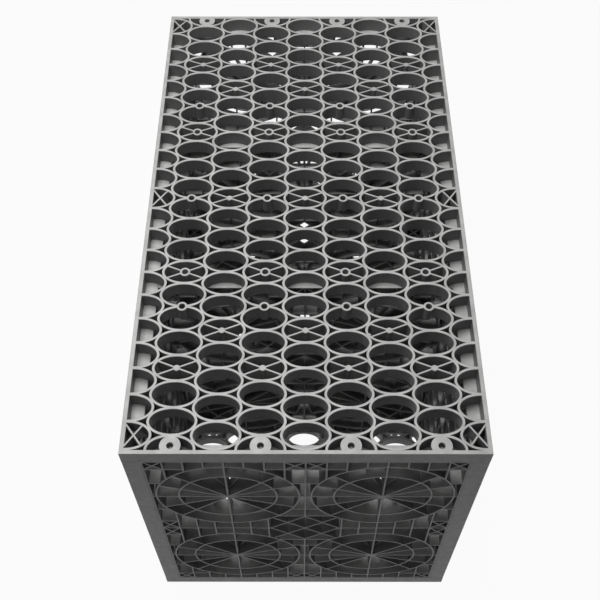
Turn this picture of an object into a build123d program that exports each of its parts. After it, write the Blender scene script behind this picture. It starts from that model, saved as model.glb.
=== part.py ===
# Soakaway crate: an open box of eight moulded lattice plates, pushed together with pegs.
# Millimetres. X runs across the crate, Y along it, Z up. The origin is the middle of its underside.
#
# Four large plates make the top, the bottom and the two long sides. The side plates stand between
# the top and the bottom. Four small plates stand across the crate: one flush with each end and
# two inside. The pegs on the small plates' edges go into the hubs of the large plates.
#
# The moulded walls are curved. Here each ring is drawn with a few flat sides around it. The top
# plate has every ring of the lattice. On the three other large plates each opening stands for two
# rings across by three along, with walls as thin as the real ones. The inner small plates leave out
# the inner rings, the slanting spokes and the pegs at their sides.

import os
from math import cos, hypot, radians, sin

from build123d import *

# Large plate
plate_length = 715.0
plate_width = 400.0
plate_thickness = 20.0
rim_wall = 5.0
lattice_margin = 5.5      # from the plate's edge to the first line of ring centres
lattice_columns = 8       # column spacings across the plate
lattice_rows = 21         # row spacings along the plate
neck_wall = 3.9           # between two openings of one column
ring_reach = 0.5          # how far a ring passes the line half way to the next column
ring_sides = 6

# Stand-in openings of the three other large plates
opening_columns = 2       # rings across that one stands for
opening_rows = 3          # rings along that one stands for
opening_reach = 5.5       # how far one passes the line half way to the next column

# Hubs of the large plate, which take the pegs, in column spacings and half row spacings
hub_columns = (-3, -1, 1, 3)
hub_rows = (-10, -7, 0, 7, 10)
inner_plate_rows = (-7, 7)
hub_radius = 6.4
boss_radius = 11.8        # the stouter hubs at the plate's two ends
hub_hole_radius = 3.6
hub_sides = 6

# Small plate
rib_wall = 2.3
ring_rise = 2.2           # how far the ring centres lie from the middle of their quarter
ring_band = 27.5          # between the two rings around one centre
ring_corners = 8
end_spokes = (8, 4)       # in the inner ring of an end plate, and between its two rings
inner_spokes = (4,)       # in the one ring of a plate inside

# Pegs on the small plate's edges
peg_columns = (-3, 3)
peg_length = 12.0
peg_sides = 4
peg_clearance = 0.1
peg_draft = 2.0           # degrees

# Sizes that follow
small_width = plate_width - 2 * plate_thickness
small_height = plate_width
crate_height = plate_width + 2 * plate_thickness
column_pitch = (plate_width - 2 * lattice_margin) / lattice_columns
row_pitch = (plate_length - 2 * lattice_margin) / lattice_rows
end_plate_place = (plate_length - plate_thickness) / 2


def outline_around(centre, half_width, half_length, sides):
    """Corners of the flat-sided outline that goes round an ellipse, with one corner on its long axis."""
    step = radians(360 / sides)
    reach = 1 / cos(step / 2)
    return [(centre[0] + reach * half_width * cos(i * step), centre[1] + reach * half_length * sin(i * step))
            for i in range(sides)]


def keep_side(corners, normal, limit):
    """The part of an outline on the near side of the line where normal . point = limit."""
    past = [normal[0] * x + normal[1] * y - limit for x, y in corners]
    kept = []
    for i, (x, y) in enumerate(corners):
        before, (x0, y0) = past[i - 1], corners[i - 1]
        if before * past[i] < 0:
            share = before / (before - past[i])
            kept.append((x0 + share * (x - x0), y0 + share * (y - y0)))
        if past[i] <= 0:
            kept.append((x, y))
    return kept


def draw_in(corners, distance):
    """An outline, given anticlockwise, with each of its sides moved inwards by the distance."""
    lines = []
    for i, (x, y) in enumerate(corners):
        dx, dy = x - corners[i - 1][0], y - corners[i - 1][1]
        length = hypot(dx, dy)
        normal = (dy / length, -dx / length)
        lines.append((*normal, normal[0] * x + normal[1] * y - distance))
    moved = []
    for (a, b, c), (d, e, f) in zip(lines, lines[1:] + lines[:1]):
        turn = a * e - b * d
        moved.append(((c * e - b * f) / turn, (a * f - c * d) / turn))
    return moved


def outline_wire(corners, height=0):
    """An outline as a closed wire at a height."""
    return Wire.make_polygon([(x, y, height) for x, y in corners], close=True)


def flat_plate(width, length, openings):
    """A plate in the XY plane, centred on the origin, with openings right through it."""
    x, y = width / 2, length / 2
    corners = [(-x, -y), (x, -y), (x, y), (-x, y)]
    wires = [outline_wire(outline, -plate_thickness / 2) for outline in (corners, *openings)]
    return extrude(Face(wires[0], wires[1:]), amount=plate_thickness, dir=(0, 0, 1))


def hub_places(columns, rows):
    """Middle and radius of each hub: those in the given rows, and the bosses at the ends."""
    hubs = [(c * column_pitch, r * row_pitch / 2, hub_radius) for c in columns for r in rows]
    return hubs + [(c * column_pitch, r * end_plate_place, boss_radius) for c in columns for r in (-1, 1)]


def clear_of_hubs(corners, centre, hubs):
    """One opening, cut back where a hub stands in it, or parted in two by a hub in its middle."""
    parts = [corners]
    for x, y, radius in hubs:
        dx, dy = x - centre[0], y - centre[1]
        away = hypot(dx, dy)
        if away > radius:
            parts = [keep_side(part, (dx / away, dy / away),
                               (x * dx + y * dy) / away - radius) for part in parts]
        else:
            parts = [keep_side(part, (side, 0), side * x - radius) for part in parts for side in (-1, 1)]
    return parts


def lattice_openings(across, along, reach, hubs):
    """Staggered openings of a large plate, each in the place of so many rings across and along."""
    inside_width, inside_length = plate_width / 2 - rim_wall, plate_length / 2 - rim_wall
    half_width, half_length = across * column_pitch / 2 + reach, (along * row_pitch - neck_wall) / 2
    columns = lattice_columns // across
    rows = lattice_rows // along + 1
    for column in range(-columns // 2, columns // 2 + 1):
        shift = 0.5 * (column % 2)
        for row in range(-rows // 2 - 1, rows // 2 + 1):
            centre = (column * across * column_pitch, (row + shift) * along * row_pitch)
            corners = outline_around(centre, half_width, half_length, ring_sides)
            for normal, limit in (((1, 0), inside_width), ((-1, 0), inside_width),
                                  ((0, 1), inside_length), ((0, -1), inside_length)):
                corners = keep_side(corners, normal, limit)
            yield from (part for part in clear_of_hubs(corners, centre, hubs) if len(part) > 2)


def large_plate(across, along, reach, hubs):
    """The large plate lying flat, with its openings and the holes of its hubs."""
    holes = [outline_around((x, y), hub_hole_radius, hub_hole_radius, hub_sides) for x, y, _ in hubs]
    return flat_plate(plate_width, plate_length, [*lattice_openings(across, along, reach, hubs), *holes])


def ring_cells(centre, reach, spokes):
    """Cells between the rings and spokes around one centre, from the inner ring to the outer one."""
    radii = [0, *(reach - i * ring_band for i in reversed(range(len(spokes))))]

    def corner(radius, i):
        angle = radians(360 / ring_corners * i)
        return (centre[0] + radius * cos(angle), centre[1] + radius * sin(angle))

    for inner, outer, count in zip(radii, radii[1:], spokes):
        steps = ring_corners // count
        for start in range(0, ring_corners, steps):
            far = [corner(outer, i) for i in range(start, start + steps + 1)]
            near = [corner(inner, i) for i in range(start + steps, start - 1, -1)] if inner else [centre]
            yield far + near


def corner_cells(centre, reach, low, high):
    """Cells between the outer ring around one centre and the corners of its quarter of the plate."""
    slant = reach * cos(radians(45))
    for x in (-1, 1):
        for y, edge in ((-1, low), (1, high)):
            cell = [(centre[0] + x * reach, edge), (centre[0], edge), (centre[0], centre[1] + y * reach),
                    (centre[0] + x * slant, centre[1] + y * slant), (centre[0] + x * reach, centre[1])]
            yield cell if x * y > 0 else cell[::-1]


def small_plate(spokes, side_pegs):
    """A small plate standing across the crate, centred on the origin, with its pegs."""
    reach = (small_width - rib_wall) / 4
    edge = (small_height - rib_wall) / 2
    cells = []
    for x in (-1, 1):
        for y in (-1, 1):
            centre = (x * reach, y * (edge / 2 + ring_rise))
            low, high = min(0, y * edge), max(0, y * edge)
            cells += [*ring_cells(centre, reach, spokes), *corner_cells(centre, reach, low, high)]
    plate = flat_plate(small_width, small_height, [draw_in(cell, rib_wall / 2) for cell in cells])
    for side in (-1, 1):
        for column in peg_columns:
            along = column * column_pitch
            plate += peg((along, side * small_height / 2, 0), (1, 0, 0), (0, side, 0))
            if side_pegs:
                plate += peg((side * small_width / 2, along, 0), (0, 1, 0), (side, 0, 0))
    return Rot(90, 0, 0) * plate


def peg(foot, across, way):
    """A tapered peg that stands on a plate's edge and points the given way."""
    flat = (hub_hole_radius - peg_clearance) * cos(radians(180 / peg_sides))
    wire = outline_wire(outline_around((0, 0), flat, flat, peg_sides))
    return extrude(Plane(foot, across, way) * Face(wire), amount=peg_length, taper=peg_draft)


def crate():
    """Every plate in its place, by name."""
    top = large_plate(1, 1, ring_reach, hub_places(hub_columns, hub_rows))
    stand_in = (opening_columns, opening_rows, opening_reach)
    bottom = large_plate(*stand_in, hub_places(peg_columns, inner_plate_rows))
    side = large_plate(*stand_in, hub_places(peg_columns, ()))
    on_edge = Rot(0, 90, 0) * side
    side_place = (plate_width - plate_thickness) / 2
    end_plate, inner_plate = small_plate(end_spokes, True), small_plate(inner_spokes, False)
    middle = crate_height / 2
    front_place, rear_place = (row * row_pitch / 2 for row in inner_plate_rows)
    return {
        "top_plate": Pos(0, 0, crate_height - plate_thickness / 2) * top,
        "bottom_plate": Pos(0, 0, plate_thickness / 2) * bottom,
        "left_side_plate": Pos(-side_place, 0, middle) * on_edge,
        "right_side_plate": Pos(side_place, 0, middle) * on_edge,
        "front_end_plate": Pos(0, -end_plate_place, middle) * end_plate,
        "front_inner_plate": Pos(0, front_place, middle) * inner_plate,
        "rear_inner_plate": Pos(0, rear_place, middle) * inner_plate,
        "rear_end_plate": Pos(0, end_plate_place, middle) * end_plate,
    }


os.makedirs("parts", exist_ok=True)
for name, piece in crate().items():
    export_step(piece, f"parts/{name}.step")
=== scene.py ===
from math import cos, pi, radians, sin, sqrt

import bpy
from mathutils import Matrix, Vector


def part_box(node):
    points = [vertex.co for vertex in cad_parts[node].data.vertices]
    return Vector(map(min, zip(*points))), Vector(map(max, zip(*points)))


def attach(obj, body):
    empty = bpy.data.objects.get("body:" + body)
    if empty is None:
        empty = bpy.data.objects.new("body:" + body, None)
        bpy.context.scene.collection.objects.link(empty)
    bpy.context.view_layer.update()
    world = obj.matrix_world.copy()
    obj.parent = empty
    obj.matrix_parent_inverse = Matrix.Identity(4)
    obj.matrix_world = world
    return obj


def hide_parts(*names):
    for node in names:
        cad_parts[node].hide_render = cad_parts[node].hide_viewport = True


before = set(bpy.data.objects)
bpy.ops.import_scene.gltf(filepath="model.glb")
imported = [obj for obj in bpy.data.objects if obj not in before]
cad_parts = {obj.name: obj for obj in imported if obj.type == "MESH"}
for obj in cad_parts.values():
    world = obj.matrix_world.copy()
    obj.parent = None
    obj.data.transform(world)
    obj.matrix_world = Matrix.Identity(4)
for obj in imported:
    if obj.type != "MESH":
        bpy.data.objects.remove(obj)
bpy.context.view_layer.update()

# Soakaway crate: an open box of eight moulded lattice plates, pushed together with pegs.
# Metres. X runs across the crate, Y along it, Z up. The origin is the middle of its underside.
#
# Two Geometry Nodes trees make every plate. The ring lattice tree makes the four large plates from
# a grid of ring centres. The wheel plate tree makes the four small plates from a plan of their ribs.

scene = bpy.context.scene

# Crate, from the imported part
TOP_LOW, TOP_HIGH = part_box("top_plate")
PLATE_WIDTH = TOP_HIGH.x - TOP_LOW.x
PLATE_LENGTH = TOP_HIGH.y - TOP_LOW.y
PLATE_THICKNESS = TOP_HIGH.z - TOP_LOW.z
SMALL_WIDTH = PLATE_WIDTH - 2 * PLATE_THICKNESS

# Large plate, as in the part's source
LATTICE_MARGIN = 0.0055
LATTICE_COLUMNS, LATTICE_ROWS = 8, 21
COLUMN_PITCH = (PLATE_WIDTH - 2 * LATTICE_MARGIN) / LATTICE_COLUMNS
ROW_PITCH = (PLATE_LENGTH - 2 * LATTICE_MARGIN) / LATTICE_ROWS
LATTICE = {
    "Width": PLATE_WIDTH,
    "Length": PLATE_LENGTH,
    "Thickness": PLATE_THICKNESS,
    "Rim": 0.005,
    "Column Pitch": COLUMN_PITCH,
    "Row Pitch": ROW_PITCH,
    "Opening Half Width": 0.0248,
    "Opening Half Length": 0.0148,
    "Ring Wall": 0.0030,
    "Hub Radius": 0.0064,
    "Stub Radius": 0.0040,
    "Boss Radius": 0.0118,
    "Hub Hole Radius": 0.0036,
    "Boss Inset": 0.010,
    "Bar Width": 0.0023,
    "Bar Reach": 0.0236,
    "Bar Angle": radians(22.4),
    "Edge Bar Inset": 0.0140,
    "Edge Bar Reach": 0.0162,
    "Edge Bar Angle": radians(54),
    "Edge Softness": 0.0004,
}
RING_FACETS, POST_FACETS, HOLE_FACETS = 40, 32, 24

# Places in the large plate: how many across and along, over how many column and row pitches
RING_CENTRES = ((5, 21, 8, 20), (4, 22, 6, 21))
STUBS = ((4, 2, 6, 15), (3, 3, 4, 12))
RING_HUBS = (4, 2, 6, 7)
NECK_HUBS = (4, 3, 6, 10)
BOSSES, BOSS_COLUMNS = 4, 6
EDGE_CROSSES, EDGE_CROSS_ROWS = 3, 20

# Small plate, measured from the middle of the plate
WHEEL_X, WHEEL_Y = 0.0904, 0.1025
OUTER_RING, INNER_RING = 0.0835, 0.0572
RIB_PITCH = 0.02235
FIELD_X, FIELD_Y = 0.1790, 0.1990
WHEEL = {
    "Width": SMALL_WIDTH,
    "Height": PLATE_WIDTH,
    "Thickness": PLATE_THICKNESS,
    "Frame Wall": 0.0020,
    "Rib Wall": 0.0021,
    "Ring Wall": 0.0023,
    "Wheel Spacing X": 2 * WHEEL_X,
    "Wheel Spacing Y": 2 * WHEEL_Y,
    "Outer Ring": OUTER_RING,
    "Inner Ring": INNER_RING,
    "Peg Radius": 0.0035,
    "Peg Tip Radius": 0.0031,
    "Peg Length": 0.012,
    "Peg Pitch": COLUMN_PITCH,
    "Edge Softness": 0.0003,
}
WHEEL_FACETS, PEG_FACETS = 72, 24
PEGS, PEG_STEP = 4, 2     # on each edge, and column pitches from one to the next
SET_BACK_PLACE = -PLATE_THICKNESS / 4

# Ribs of a quarter of the small plate, from the plate's middle
RIB_STEPS = (-3, -2, -1, 1, 2, 3)      # upright ribs beside the one through a wheel's middle, in rib pitches
FIELD_RIBS = (0.1407, 0.0634)          # level ribs on both sides of a wheel
LOW_RIB = 0.0414                       # the level rib next to the diamond in the plate's middle
CORNER_CELL, SIDE_CELL = 0.1793, 0.0240     # where the crossed cells begin at a corner, and end at a side
DIAMOND_TOP, DIAMOND_SIDE = 0.0393, 0.0429
DIAMOND_NODE, DIAGONAL_END = (0.0214, 0.0193), (0.0386, 0.0342)
SPOKES = (-45, -22.5, 22.5, 45, 135, 157.5, 202.5, 225)     # degrees around a wheel
SET_BACK_SPOKES = (67.5, 112.5, 247.5, 292.5)
PLAN_DIGITS = 6

# Unit shapes reach from -1 to 1. They have three bands along their depth, so that their ends can
# be chamfered, and a corner past the end limit belongs to an end.
UNIT_SIZE, UNIT_BANDS, UNIT_END = 2.0, 3, 0.5
CUTTER_OVER = 0.001       # how far a cutter stands past the plate's faces
SMOOTH_ANGLE = radians(30)

# Sockets of a Mix node that mixes colours. Their names are also those of its other sockets.
MIX_SHARE, MIX_FIRST, MIX_SECOND, MIX_RESULT = 0, 6, 7, 2

# Finish of the plastic. Scales are in noise features a metre.
PLASTIC_DARK = (0.100, 0.101, 0.100, 1)
PLASTIC_PALE = (0.124, 0.125, 0.124, 1)
NOISE_DETAIL = 2.0
CLOUD_SCALE, CLOUD_DETAIL, CLOUD_RANGE = 9.0, 3.0, (0.35, 0.65)
DRAG_COLOUR = (0.155, 0.155, 0.153, 1)
DRAG_SHARE = 0.2
DRAG_SCALE, DRAG_STRETCH, DRAG_RANGE = 420.0, 0.06, (0.42, 0.62)
DRAG_HEIGHT = 0.4
# Pale colour on up-facing faces: partly dust, partly painted light that makes tops lighter as if lit from
# above.
DUST_AND_TOP_LIGHT_COLOUR = (0.36, 0.358, 0.352, 1)
DUST_AND_TOP_LIGHT_SHARE = 0.8
DUST_AND_TOP_LIGHT_THINNEST = 0.6
DUST_AND_TOP_LIGHT_SCALE, DUST_AND_TOP_LIGHT_DETAIL, DUST_AND_TOP_LIGHT_RANGE = 60.0, 5.0, (0.35, 0.70)
DUST_AND_TOP_LIGHT_SLOPE = (0.75, 1.0)  # how far up a face looks where the dust and the painted top light begin, and where they are whole
DUST_AND_TOP_LIGHT_ROUGHNESS = 0.06
RIM_COLOUR = (0.20, 0.20, 0.198, 1)
RIM_SHARE = 0.5
RIM_SLOPE, RIM_SPAN = 0.707, 0.2
PATCH_SCALE, PATCH_RANGE = 150.0, (0.3, 0.7)
ROUGHNESS = (0.40, 0.52)
SPECULAR_LEVEL = 0.35
GRAIN_SCALE, GRAIN_DETAIL = 1400.0, 4.0
GRAIN_STRENGTH, GRAIN_DEPTH = 0.25, 0.0002

# Camera, fitted to the crate's corners
LENS, SENSOR = 55.02, 36.0
EYE_PLACE = (-0.0059, -0.7717, 1.3396)
EYE_TURN = (radians(34.27), 0.0, radians(0.049))

# Light and surroundings
LAMPS = {  # power, size, place, aim
    "overhead": (25.0, 0.8, (-0.22, 0.08, 1.60), (-0.22, 0.08, 0.0)),
    "high_front": (3.0, 0.6, (-0.25, -1.20, 1.50), (0.0, -0.30, 0.30)),
}
WORLD_LIGHT = 0.06
WHITE = (1, 1, 1, 1)
FLOOR_WHITE = 0.95
FLOOR_COLOUR = (0.4, 0.4, 0.4, 1)
FLOOR_SIZE = 12.0


class Value:
    """A number on its way through a node tree, with which sums are made as in plain script."""

    def __init__(self, nodes, socket):
        self.nodes, self.socket = nodes, socket

    def sum(self, operation, *others):
        return self.nodes.number(operation, self, *others)

    def __add__(self, other):
        return self.sum("ADD", other)

    def __sub__(self, other):
        return self.sum("SUBTRACT", other)

    def __mul__(self, other):
        return self.sum("MULTIPLY", other)

    def __neg__(self):
        return self.sum("MULTIPLY", -1.0)


class Nodes:
    """A node tree in the making."""

    def __init__(self, tree):
        self.tree = tree

    def feed(self, socket, value):
        """Sets a socket to a plain value, or links to it what comes from other nodes."""
        linked = (Value, bpy.types.NodeSocket)
        if isinstance(value, (list, tuple)) and any(isinstance(part, linked) for part in value):
            if socket.is_multi_input:
                for part in value:
                    self.feed(socket, part)
                return
            value = self.add("ShaderNodeCombineXYZ", {"XYZ"[i]: part for i, part in enumerate(value)})
        if isinstance(value, Value):
            value = value.socket
        if isinstance(value, bpy.types.NodeSocket):
            self.tree.links.new(value, socket)
        else:
            socket.default_value = value

    def add(self, kind, inputs=None, output=0, **settings):
        """Adds a node, feeds its inputs by name or place, and gives one of its outputs."""
        node = self.tree.nodes.new(kind)
        for name, value in settings.items():
            setattr(node, name, value)
        for name, value in (inputs or {}).items():
            self.feed(node.inputs[name], value)
        return node.outputs[output] if len(node.outputs) else node

    def number(self, operation, *values):
        return Value(self, self.add("ShaderNodeMath", dict(enumerate(values)), operation=operation))

    def split(self, vector):
        node = self.tree.nodes.new("ShaderNodeSeparateXYZ")
        self.feed(node.inputs[0], vector)
        return [Value(self, socket) for socket in node.outputs]


class PlateTree(Nodes):
    """A Geometry Nodes tree of one plate, with a named input for each of its sizes."""

    def __init__(self, name, sizes):
        super().__init__(bpy.data.node_groups.new(name, "GeometryNodeTree"))
        sockets = self.tree.interface
        sockets.new_socket("Geometry", in_out="OUTPUT", socket_type="NodeSocketGeometry")
        sockets.new_socket("Plan", in_out="INPUT", socket_type="NodeSocketGeometry")
        for label, value in sizes.items():
            sockets.new_socket(label, in_out="INPUT", socket_type="NodeSocketFloat").default_value = value
        sockets.new_socket("Place", in_out="INPUT", socket_type="NodeSocketVector")
        sockets.new_socket("Turn", in_out="INPUT", socket_type="NodeSocketRotation")
        sockets.new_socket("Finish", in_out="INPUT", socket_type="NodeSocketMaterial")
        self.inputs = self.tree.nodes.new("NodeGroupInput").outputs

    def __getitem__(self, label):
        return Value(self, self.inputs[label])

    def block(self, shape, half_width, half_length, half_depth, edge, over=None):
        """A unit shape made to size. Its rims are chamfered, or flared where it is a cutter."""
        x, y, z = self.split(self.add("GeometryNodeInputPosition"))
        end = z.sum("ABSOLUTE").sum("GREATER_THAN", UNIT_END)
        grow = end * (-edge if over is None else edge + over)
        depth = half_depth - edge + end * (edge if over is None else edge + over)
        place = [x * (half_width + grow), y * (half_length + grow), z.sum("SIGN") * depth]
        return self.add("GeometryNodeSetPosition", {"Geometry": shape, "Position": place})

    def round_block(self, half_width, half_length, half_depth, edge, over=None, facets=RING_FACETS):
        shape = self.add("GeometryNodeMeshCylinder", {"Vertices": facets, "Side Segments": UNIT_BANDS,
                                                      "Radius": UNIT_SIZE / 2, "Depth": UNIT_SIZE})
        return self.block(shape, half_width, half_length, half_depth, edge, over)

    def square_block(self, half_width, half_length, half_depth, edge, over=None):
        shape = self.add("GeometryNodeMeshCube", {"Size": (UNIT_SIZE,) * 3, "Vertices Z": UNIT_BANDS + 1})
        return self.block(shape, half_width, half_length, half_depth, edge, over)

    def frame(self, width, height, wall, edge):
        """A flat frame around the plate."""
        half_depth = self["Thickness"] * 0.5
        outside = self.square_block(width * 0.5, height * 0.5, half_depth, edge)
        inside = self.square_block(width * 0.5 - wall, height * 0.5 - wall, half_depth, edge,
                                   over=CUTTER_OVER)
        return self.cut(outside, inside)

    def grid(self, columns, rows, width, length):
        """Points in even columns and rows, centred on the plate."""
        return self.add("GeometryNodeMeshGrid", {"Vertices X": columns, "Vertices Y": rows,
                                                 "Size X": width, "Size Y": length})

    def join(self, *parts):
        return self.add("GeometryNodeJoinGeometry", {"Geometry": list(parts)})

    def move(self, part, place=(0.0, 0.0, 0.0), turn=(0.0, 0.0, 0.0)):
        return self.add("GeometryNodeTransform", {"Geometry": part, "Translation": place, "Rotation": turn})

    def at_each(self, points, part):
        return self.add("GeometryNodeInstanceOnPoints", {"Points": points, "Instance": part})

    def unite(self, *parts):
        return self.add("GeometryNodeMeshBoolean", {"Mesh 2": list(parts)},
                        operation="UNION", solver="MANIFOLD")

    def overlap(self, *parts):
        return self.add("GeometryNodeMeshBoolean", {"Mesh 2": list(parts)},
                        operation="INTERSECT", solver="MANIFOLD")

    def cut(self, part, *cutters):
        return self.add("GeometryNodeMeshBoolean", {"Mesh 1": part, "Mesh 2": list(cutters)},
                        operation="DIFFERENCE", solver="MANIFOLD")

    def finish(self, plate):
        """Ends the tree: smooth walls with crisp edges, the plate's place, and its finish."""
        real = self.add("GeometryNodeRealizeInstances", {"Geometry": plate})
        angle = Value(self, self.add("GeometryNodeInputMeshEdgeAngle"))
        soft = angle.sum("LESS_THAN", SMOOTH_ANGLE)
        smooth = self.add("GeometryNodeSetShadeSmooth", {"Geometry": real, "Shade Smooth": soft},
                          domain="EDGE")
        placed = self.add("GeometryNodeTransform", {"Geometry": smooth, "Translation": self["Place"],
                                                    "Rotation": self["Turn"]})
        painted = self.add("GeometryNodeSetMaterial", {"Geometry": placed, "Material": self["Finish"]})
        self.feed(self.tree.nodes.new("NodeGroupOutput").inputs[0], painted)


def crossed_bars(t, reach, angle):
    """Two flat bars crossed at twice the angle."""
    bar = t.square_block(reach, t["Bar Width"] * 0.5, t["Thickness"] * 0.5, t["Edge Softness"])
    return t.unite(t.move(bar, turn=[0.0, 0.0, angle]), t.move(bar, turn=[0.0, 0.0, -angle]))


def ring_lattice():
    """The large plate: staggered oval rings in a rim, with crossed bars and hubs in some of them."""
    t = PlateTree("ring lattice", LATTICE)
    column, row, depth, edge = t["Column Pitch"], t["Row Pitch"], t["Thickness"] * 0.5, t["Edge Softness"]
    half_width, half_length = t["Opening Half Width"], t["Opening Half Length"]
    outside = t.round_block(half_width + t["Ring Wall"], half_length + t["Ring Wall"], depth, 0.0)
    opening = t.round_block(half_width, half_length, depth, edge, over=CUTTER_OVER)

    def places(*fields):
        return t.join(*(t.grid(across, along, column * columns, row * rows)
                        for across, along, columns, rows in fields))

    centres = places(*RING_CENTRES)
    slab = t.square_block(t["Width"] * 0.5, t["Length"] * 0.5, depth, edge)
    rings = t.cut(t.overlap(t.unite(t.at_each(centres, outside)), slab), t.at_each(centres, opening))

    bars = crossed_bars(t, t["Bar Reach"], t["Bar Angle"])
    stubs, ring_hubs, neck_hubs = places(*STUBS), places(RING_HUBS), places(NECK_HUBS)
    end_hubs = t.grid(BOSSES, 2, column * BOSS_COLUMNS, t["Length"] - t["Boss Inset"] * 2.0)
    edge_bars = crossed_bars(t, t["Edge Bar Reach"], t["Edge Bar Angle"])
    edge_crosses = t.grid(2, EDGE_CROSSES, t["Width"] - t["Edge Bar Inset"] * 2.0, row * EDGE_CROSS_ROWS)

    def post(radius):
        return t.round_block(radius, radius, depth, edge, facets=POST_FACETS)

    hole = t.round_block(t["Hub Hole Radius"], t["Hub Hole Radius"], depth, edge,
                         over=CUTTER_OVER, facets=HOLE_FACETS)
    plate = t.unite(
        rings,
        t.frame(t["Width"], t["Length"], t["Rim"], edge),
        t.at_each(t.join(stubs, ring_hubs), bars),
        t.overlap(t.unite(t.at_each(edge_crosses, edge_bars)), slab),
        t.at_each(stubs, post(t["Stub Radius"])),
        t.at_each(t.join(ring_hubs, neck_hubs), post(t["Hub Radius"])),
        t.overlap(t.unite(t.at_each(end_hubs, post(t["Boss Radius"]))), slab),
    )
    t.finish(t.cut(plate, t.at_each(t.join(ring_hubs, neck_hubs, end_hubs), hole)))
    return t


def wheel_plate():
    """The small plate: four double rings in a frame, with the ribs of the plan and pegs around it."""
    t = PlateTree("wheel plate", WHEEL)
    depth, edge = t["Thickness"] * 0.5, t["Edge Softness"]

    def wall(path, width, whole_depth):
        """A wall with softened edges along each line of a path."""
        profile = t.add("GeometryNodeCurvePrimitiveQuadrilateral", {"Width": width, "Height": whole_depth})
        profile = t.add("GeometryNodeFilletCurve", {"Curve": profile, "Radius": edge, "Count": 1},
                        mode="POLY")
        upright = t.add("GeometryNodeSetCurveNormal", {"Curve": path}, mode="Z_UP")
        return t.add("GeometryNodeCurveToMesh", {"Curve": upright, "Profile Curve": profile,
                                                       "Fill Caps": True})

    def ribs(lines, whole_depth):
        """A wall along each line of the plan, every one a part of its own."""
        walls = wall(t.add("GeometryNodeMeshToCurve", {"Mesh": lines}), t["Rib Wall"], whole_depth)
        island = t.add("GeometryNodeInputMeshIsland")
        return t.add("GeometryNodeSplitToInstances", {"Geometry": walls, "Group ID": island}, domain="FACE")

    def ring(radius):
        circle = t.add("GeometryNodeCurvePrimitiveCircle", {"Resolution": WHEEL_FACETS, "Radius": radius})
        return wall(circle, t["Ring Wall"], t["Thickness"])

    height = t.split(t.add("GeometryNodeInputPosition"))[2]
    parting = t.tree.nodes.new("GeometryNodeSeparateGeometry")
    parting.domain = "EDGE"
    t.feed(parting.inputs["Geometry"], t["Plan"])
    t.feed(parting.inputs["Selection"], height.sum("LESS_THAN", SET_BACK_PLACE / 2))
    set_back, full = parting.outputs

    wheels = t.grid(2, 2, t["Wheel Spacing X"], t["Wheel Spacing Y"])
    peg = t.add("GeometryNodeMeshCone", {"Vertices": PEG_FACETS, "Radius Top": t["Peg Tip Radius"],
                                         "Radius Bottom": t["Peg Radius"], "Depth": t["Peg Length"]})

    def pegs(edge_half, turn):
        """The row of pegs on one edge of the plate, pointing outwards."""
        start = t["Peg Pitch"] * (PEG_STEP * (1 - PEGS) / 2)
        row = t.add("GeometryNodeMeshLine", {"Count": PEGS, "Start Location": [start, 0.0, 0.0],
                                             "Offset": [t["Peg Pitch"] * PEG_STEP, 0.0, 0.0]})
        standing = t.at_each(row, t.move(peg, turn=(-pi / 2, 0.0, 0.0)))
        return t.move(t.move(standing, place=[0.0, edge_half, 0.0]), turn=turn)

    plate = t.unite(
        t.frame(t["Width"], t["Height"], t["Frame Wall"], edge),
        ribs(full, t["Thickness"]), ribs(set_back, t["Thickness"] * 0.5),
        t.at_each(wheels, ring(t["Outer Ring"])), t.at_each(wheels, ring(t["Inner Ring"])),
        *(pegs(t["Height"] * 0.5, (0.0, 0.0, turn)) for turn in (0.0, pi)),
        *(pegs(t["Width"] * 0.5, (0.0, 0.0, turn)) for turn in (pi / 2, -pi / 2)),
    )
    t.finish(plate)
    return t


def on_ring(radius, along):
    """How far a circle lies from its centre line at a distance along it."""
    return sqrt(radius ** 2 - along ** 2)


def quarter_plan():
    """Ribs of a quarter of the small plate, as pairs of points, from the plate's middle outwards."""
    a, b, outer, inner = WHEEL_X, WHEEL_Y, OUTER_RING, INNER_RING
    last = RIB_STEPS[-1]
    lines = [((0, DIAMOND_TOP), (0, FIELD_Y)), ((a, 0), (a, FIELD_Y)), ((0, b), (FIELD_X, b))]
    for k in RIB_STEPS:
        x, drop = a + k * RIB_PITCH, on_ring(outer, k * RIB_PITCH)
        lines.append(((x, b + drop), (x, FIELD_Y)))
        if k > -last:
            lines.append(((x, 0), (x, b - drop)))
    cell_x, cell_y = a + last * RIB_PITCH, CORNER_CELL
    for y in FIELD_RIBS:
        side = on_ring(outer, y - b)
        lines += [((0, y), (a - side, y)), ((a + side, y), (FIELD_X, y))]
    near, far = a - (last - 1) * RIB_PITCH, a + (last - 1) * RIB_PITCH
    lines += [((0, cell_y), (near, cell_y)), ((far, cell_y), (FIELD_X, cell_y)),
              ((0, LOW_RIB), (a - on_ring(outer, b - LOW_RIB), LOW_RIB)),
              ((cell_x, SIDE_CELL), (FIELD_X, SIDE_CELL)), ((DIAMOND_SIDE, 0), (FIELD_X, 0))]
    for (x0, y0), (x1, y1) in (((cell_x, cell_y), (FIELD_X, FIELD_Y)),
                               ((0, cell_y), (a - last * RIB_PITCH, FIELD_Y)),
                               ((cell_x, 0), (FIELD_X, SIDE_CELL))):
        lines += [((x0, y0), (x1, y1)), ((x0, y1), (x1, y0))]
    for degrees in SPOKES:
        way = cos(radians(degrees)), sin(radians(degrees))
        lines.append(((a, b), (a + outer * way[0], b + outer * way[1])))
    lines += [((0, 0), DIAMOND_NODE), (DIAMOND_NODE, DIAGONAL_END),
              ((0, DIAMOND_TOP), DIAMOND_NODE), (DIAMOND_NODE, (DIAMOND_SIDE, 0))]
    set_back = []
    for degrees in SET_BACK_SPOKES:
        way = cos(radians(degrees)), sin(radians(degrees))
        foot = (a + inner * way[0], b + inner * way[1])
        over = b + on_ring(outer, foot[0] - a) * (1 if way[1] > 0 else -1)
        set_back += [((a, b), foot), (foot, (foot[0], over))]
    return lines, set_back


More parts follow.
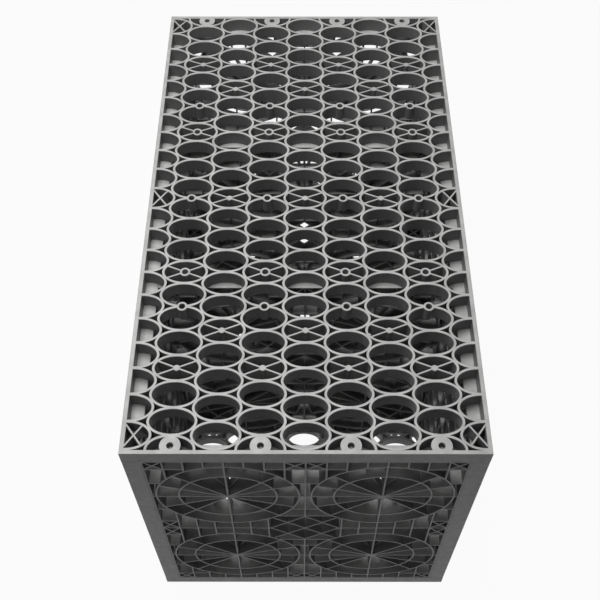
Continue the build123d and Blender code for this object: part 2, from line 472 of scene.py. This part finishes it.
def rib_plan():
    """The whole small plate's ribs as a wire mesh. A set-back rib lies in the plate's rear half."""
    lines, set_back = quarter_plan()
    segments = set()
    for group, z in ((lines, 0.0), (set_back, SET_BACK_PLACE)):
        for (x0, y0), (x1, y1) in group:
            for sx in (-1, 1):
                for sy in (-1, 1):
                    ends = sorted((round(sx * x, PLAN_DIGITS) + 0.0, round(sy * y, PLAN_DIGITS) + 0.0)
                                  for x, y in ((x0, y0), (x1, y1)))
                    segments.add((z, *ends))
    points = [(x, y, z) for z, *ends in sorted(segments) for x, y in ends]
    mesh = bpy.data.meshes.new("rib plan")
    mesh.from_pydata(points, [(i, i + 1) for i in range(0, len(points), 2)], [])
    return mesh


def make_plate(name, tree, plan, place, turn, finish):
    """One plate as a plain mesh that stands in for the CAD node of the same name."""
    piece = bpy.data.objects.new(name + "_moulding", plan)
    scene.collection.objects.link(piece)
    modifier = piece.modifiers.new("plate", "NODES")
    modifier.node_group = tree.tree
    given = {"Place": place, "Turn": turn, "Finish": finish}
    for item in tree.tree.interface.items_tree:
        if item.item_type == "SOCKET" and item.in_out == "INPUT" and item.name in given:
            modifier[item.identifier] = given[item.name]
    graph = bpy.context.evaluated_depsgraph_get()
    mesh = bpy.data.meshes.new_from_object(piece.evaluated_get(graph), depsgraph=graph)
    piece.modifiers.clear()
    piece.data = mesh
    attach(piece, "root")
    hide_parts(name)
    return piece


class Shading(Nodes):
    """The nodes of one material."""

    def noise(self, place, scale, detail=NOISE_DETAIL):
        sizes = {"Vector": place, "Scale": scale, "Detail": detail}
        return Value(self, self.add("ShaderNodeTexNoise", sizes))

    def spread(self, value, low, high, to_low=0.0, to_high=1.0):
        """A value between low and high, spread over another range and held inside it."""
        return Value(self, self.add("ShaderNodeMapRange", {"Value": value, "From Min": low, "From Max": high,
                                                           "To Min": to_low, "To Max": to_high}))

    def blend(self, share, colour, other):
        return self.add("ShaderNodeMix", {MIX_SHARE: share, MIX_FIRST: colour, MIX_SECOND: other},
                        output=MIX_RESULT, data_type="RGBA")


def moulded_plastic(name, depth_axis):
    """Dark grey moulded plastic: clouded, finely grained, dusty and painted lighter on top as if lit from
    above, rubbed pale along its rims.

    The depth axis is the way the plate left its mould, along which its walls carry faint drag lines.
    """
    material = bpy.data.materials.new(name)
    material.use_nodes = True
    s = Shading(material.node_tree)
    place = s.add("ShaderNodeTexCoord", output="Object")
    facing = s.split(s.add("ShaderNodeTexCoord", output="Normal"))
    stretch = [DRAG_STRETCH if depth_axis == axis else 1.0 for axis in range(3)]
    drawn = s.add("ShaderNodeMapping", {"Vector": place, "Scale": stretch})

    cloud = s.spread(s.noise(place, CLOUD_SCALE, CLOUD_DETAIL), *CLOUD_RANGE)
    drag = s.spread(s.noise(drawn, DRAG_SCALE), *DRAG_RANGE)
    depth_share = facing[depth_axis].sum("ABSOLUTE")
    rim = s.spread((depth_share - RIM_SLOPE).sum("ABSOLUTE"), RIM_SPAN, 0.0)
    # Up-facing faces are paled in patches: partly settled dust, partly painted light standing in for light
    # from above.
    settled_dust_and_light = s.spread(s.noise(place, DUST_AND_TOP_LIGHT_SCALE, DUST_AND_TOP_LIGHT_DETAIL), *DUST_AND_TOP_LIGHT_RANGE, DUST_AND_TOP_LIGHT_THINNEST)
    dust_and_top_light = s.spread(facing[2], *DUST_AND_TOP_LIGHT_SLOPE) * settled_dust_and_light

    colour = s.blend(cloud, PLASTIC_DARK, PLASTIC_PALE)
    colour = s.blend(drag * DRAG_SHARE, colour, DRAG_COLOUR)
    colour = s.blend(dust_and_top_light * DUST_AND_TOP_LIGHT_SHARE, colour, DUST_AND_TOP_LIGHT_COLOUR)
    colour = s.blend(rim * RIM_SHARE, colour, RIM_COLOUR)
    rough = s.spread(s.noise(place, PATCH_SCALE), *PATCH_RANGE, *ROUGHNESS) + dust_and_top_light * DUST_AND_TOP_LIGHT_ROUGHNESS
    grain = s.noise(place, GRAIN_SCALE, GRAIN_DETAIL) + drag * DRAG_HEIGHT

    shader = material.node_tree.nodes["Principled BSDF"]
    s.feed(shader.inputs["Base Color"], colour)
    s.feed(shader.inputs["Roughness"], rough)
    s.feed(shader.inputs["Specular IOR Level"], SPECULAR_LEVEL)
    s.feed(shader.inputs["Normal"],
           s.add("ShaderNodeBump", {"Strength": GRAIN_STRENGTH, "Distance": GRAIN_DEPTH, "Height": grain}))
    return material


def camera():
    """The camera that took the photograph, fitted to the crate's six visible corners."""
    data = bpy.data.cameras.new("camera")
    data.lens, data.sensor_width = LENS, SENSOR
    eye = bpy.data.objects.new("camera", data)
    eye.location, eye.rotation_euler = EYE_PLACE, EYE_TURN
    scene.collection.objects.link(eye)
    scene.camera = eye


def soft_box(name, power, size, place, aim):
    """A square lamp that shines from its place towards a point."""
    data = bpy.data.lights.new(name, "AREA")
    data.energy, data.size = power, size
    lamp = bpy.data.objects.new(name, data)
    lamp.location = place
    lamp.rotation_euler = (Vector(aim) - Vector(place)).to_track_quat("-Z", "Y").to_euler()
    lamp.visible_camera = False
    scene.collection.objects.link(lamp)


def seen(s):
    """1 for camera, glossy and transmission rays, and 0 for the rays that light the crate."""
    paths = s.tree.nodes.new("ShaderNodeLightPath").outputs
    ray = Value(s, paths["Is Camera Ray"]).sum("MAXIMUM", paths["Is Glossy Ray"])
    return ray.sum("MAXIMUM", paths["Is Transmission Ray"])


def white_world():
    """A world that is seen as white and adds a faint light of its own."""
    world = bpy.data.worlds.new("studio")
    scene.world = world
    world.use_nodes = True
    background = world.node_tree.nodes["Background"]
    s = Nodes(world.node_tree)
    s.feed(background.inputs["Color"], WHITE)
    s.feed(background.inputs["Strength"], seen(s) * (1.0 - WORLD_LIGHT) + WORLD_LIGHT)


def pale_floor():
    """A floor that is seen nearly white, keeps the crate's shadow and throws soft light back up."""
    mesh = bpy.data.meshes.new("floor")
    reach = FLOOR_SIZE / 2
    mesh.from_pydata([(-reach, -reach, 0), (reach, -reach, 0), (reach, reach, 0), (-reach, reach, 0)],
                     [], [(0, 1, 2, 3)])
    floor = bpy.data.objects.new("floor", mesh)
    scene.collection.objects.link(floor)
    material = bpy.data.materials.new("pale_floor")
    material.use_nodes = True
    s = Nodes(material.node_tree)
    pale = s.add("ShaderNodeBsdfDiffuse", {"Color": FLOOR_COLOUR})
    white = s.add("ShaderNodeEmission", {"Color": WHITE, "Strength": 1.0})
    mixed = s.add("ShaderNodeMixShader", {0: seen(s) * FLOOR_WHITE, 1: pale, 2: white})
    s.feed(material.node_tree.nodes["Material Output"].inputs["Surface"], mixed)
    floor.data.materials.append(material)


def middle(name):
    """The middle of a CAD node's box."""
    low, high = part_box(name)
    return tuple((low + high) / 2)


camera()
white_world()
pale_floor()
for name, lamp in LAMPS.items():
    soft_box(name, *lamp)

large, small = ring_lattice(), wheel_plate()
no_plan, plan = bpy.data.meshes.new("no plan"), rib_plan()
lying, upright, across = (moulded_plastic(f"moulded_plastic_{way}", axis)
                          for way, axis in (("lying", 2), ("upright", 0), ("across", 1)))
for name in ("top_plate", "bottom_plate"):
    make_plate(name, large, no_plan, middle(name), (0.0, 0.0, 0.0), lying)
for name in ("left_side_plate", "right_side_plate"):
    make_plate(name, large, no_plan, middle(name), (0.0, pi / 2, 0.0), upright)
for name in ("front_end_plate", "front_inner_plate", "rear_inner_plate", "rear_end_plate"):
    make_plate(name, small, plan, middle(name), (pi / 2, 0.0, 0.0), across)

scene.view_settings.view_transform = "Standard"
